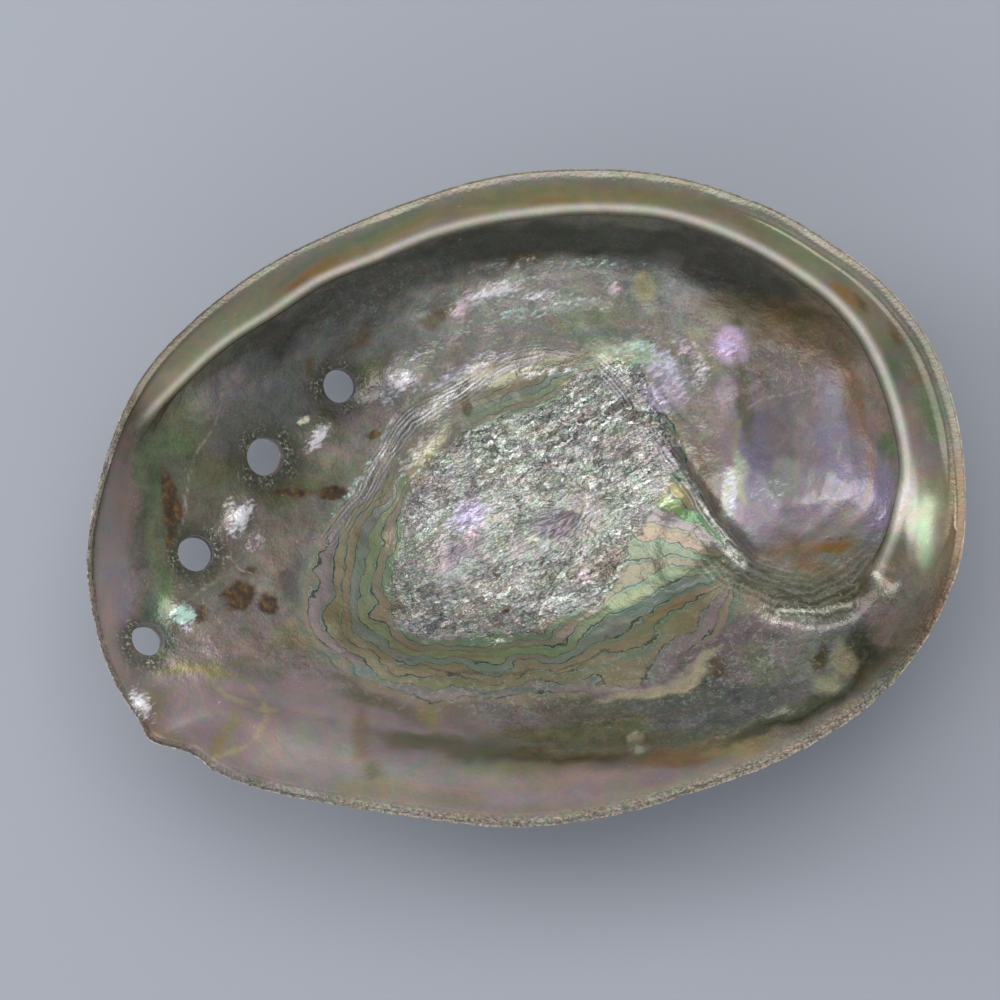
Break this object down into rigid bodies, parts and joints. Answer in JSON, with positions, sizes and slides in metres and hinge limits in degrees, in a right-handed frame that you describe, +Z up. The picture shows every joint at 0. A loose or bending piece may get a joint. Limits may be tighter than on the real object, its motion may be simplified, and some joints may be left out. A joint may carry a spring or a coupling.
{
  "type": "abalone shell",
  "caption": "Ear-shaped abalone shell lying on its back, with a flat inner lip, a spire hollow, a muscle scar and a curved row of breathing holes.",
  "frame": {"origin": "middle of the shell's outline from above, on the surface that the shell rests on", "axes": "+X towards the spire end, +Y towards the side with the flat inner lip, +Z up out of the mouth"},
  "size_m": [0.1804, 0.1356, 0.0468],
  "materials": {
    "nacre": "iridescent mother of pearl inside, rough reddish brown crust outside"
  },
  "bodies": {
    "root": {"shell": "nacre"}
  },
  "joints": []
}
